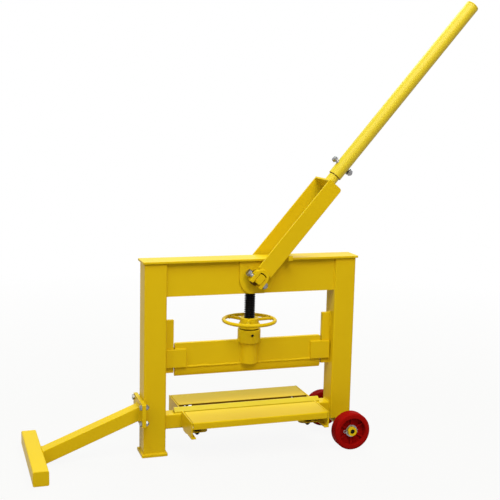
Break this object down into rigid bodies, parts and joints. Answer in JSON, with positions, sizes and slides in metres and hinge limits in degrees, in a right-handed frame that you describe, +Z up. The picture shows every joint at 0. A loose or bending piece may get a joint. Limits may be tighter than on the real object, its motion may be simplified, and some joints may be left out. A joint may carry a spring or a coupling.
{
  "type": "masonry block splitter",
  "caption": "Hand-operated block splitter: a welded frame on wheels with a bolted stabiliser, an eccentric lever press, a handwheel-set upper blade, a fixed lower blade and sprung tables.",
  "frame": {"origin": "on the ground, under the middle of the whole machine's box at rest", "axes": "+X along the frame from the stabiliser towards the wheels, +Y across the frame to the rear, +Z up"},
  "size_m": [1.2528, 0.31, 1.2358],
  "materials": {
    "yellow_paint": "semi-gloss",
    "bare_steel": "satin",
    "zinc": "satin",
    "black_steel": "satin",
    "red_wheel": "satin"
  },
  "bodies": {
    "frame": {"left_post": "yellow_paint", "right_post": "yellow_paint", "left_foot_plate": "yellow_paint", "front_beam_plate": "yellow_paint", "rear_beam_plate": "yellow_paint", "cap_plate": "yellow_paint", "front_bearing_plate": "yellow_paint", "rear_bearing_plate": "yellow_paint", "shaft_bushes": "yellow_paint", "lever_stops": "yellow_paint", "left_guide_bar": "yellow_paint", "right_guide_bar": "yellow_paint", "lower_beam": "yellow_paint", "lower_blade": "yellow_paint", "left_table_arms": "yellow_paint", "right_table_arms": "yellow_paint", "spring_seats": "yellow_paint", "post_flange": "yellow_paint", "leg_flange": "yellow_paint", "leg_tube": "yellow_paint", "foot_bar": "yellow_paint", "foot_bar_caps": "yellow_paint", "flange_bolts": "zinc", "flange_nuts": "zinc", "axle": "yellow_paint", "axle_washers": "zinc", "split_pins": "zinc", "front_table_springs": "black_steel", "rear_table_springs": "black_steel"},
    "lever": {"front_fork_arm": "yellow_paint", "rear_fork_arm": "yellow_paint", "fork_end_plate": "yellow_paint", "handle_stub": "yellow_paint", "handle_tube": "yellow_paint", "handle_cap": "yellow_paint", "front_saddle": "yellow_paint", "rear_saddle": "yellow_paint", "eccentric_shaft": "yellow_paint", "eccentric_cam": "bare_steel", "lever_bolts": "zinc", "lever_nuts": "zinc"},
    "screw": {"screw_yoke": "bare_steel", "screw": "black_steel"},
    "carriage": {"blade_holder": "yellow_paint", "upper_blade": "yellow_paint", "sleeve": "yellow_paint", "collar": "yellow_paint", "left_guide_lugs": "yellow_paint", "right_guide_lugs": "yellow_paint", "grub_screws": "black_steel"},
    "handwheel": {"handwheel_rim": "yellow_paint", "handwheel_spokes": "yellow_paint", "handwheel_hub": "yellow_paint", "screw_nut": "yellow_paint"},
    "front_table": {"front_table": "yellow_paint", "front_table_bolts": "black_steel"},
    "rear_table": {"rear_table": "yellow_paint", "rear_table_bolts": "black_steel"},
    "front_wheel": {"front_wheel": "red_wheel"},
    "rear_wheel": {"rear_wheel": "red_wheel"}
  },
  "joints": [
    {"name": "lever_swing", "type": "hinge", "parent": "frame", "child": "lever", "pos_m": [-0.01677, 0, 0.47698], "axis": [0, -1, 0], "range_deg": [0, 105]},
    {"name": "screw_press", "type": "slide", "parent": "frame", "child": "screw", "axis": [0, 0, 1], "range_m": [-0.0191, 0]},
    {"name": "blade_height", "type": "slide", "parent": "screw", "child": "carriage", "axis": [0, 0, 1], "range_m": [-0.0251, 0.0501]},
    {"name": "handwheel_turn", "type": "hinge", "parent": "carriage", "child": "handwheel", "pos_m": [-0.02643, 0, 0.338], "axis": [0, 0, 1], "range_deg": [-1800, 3600]},
    {"name": "front_table_give", "type": "slide", "parent": "frame", "child": "front_table", "axis": [0, 0, 1], "range_m": [-0.01, 0], "stiffness_N_per_m": 13000, "springref_m": 0.004, "deforming": ["front_table_springs"]},
    {"name": "rear_table_give", "type": "slide", "parent": "frame", "child": "rear_table", "axis": [0, 0, 1], "range_m": [-0.01, 0], "stiffness_N_per_m": 13000, "springref_m": 0.004, "deforming": ["rear_table_springs"]},
    {"name": "front_wheel_spin", "type": "hinge", "parent": "frame", "child": "front_wheel", "pos_m": [0.24158, -0.1025, 0.052], "axis": [0, 1, 0], "continuous": true},
    {"name": "rear_wheel_spin", "type": "hinge", "parent": "frame", "child": "rear_wheel", "pos_m": [0.24158, 0.1025, 0.052], "axis": [0, 1, 0], "continuous": true}
  ],
  "couplings": [
    {"joint": "screw_press", "follows": "lever_swing", "m_per_rad": -0.01039},
    {"joint": "blade_height", "follows": "handwheel_turn", "m_per_rad": 0.00079577}
  ]
}
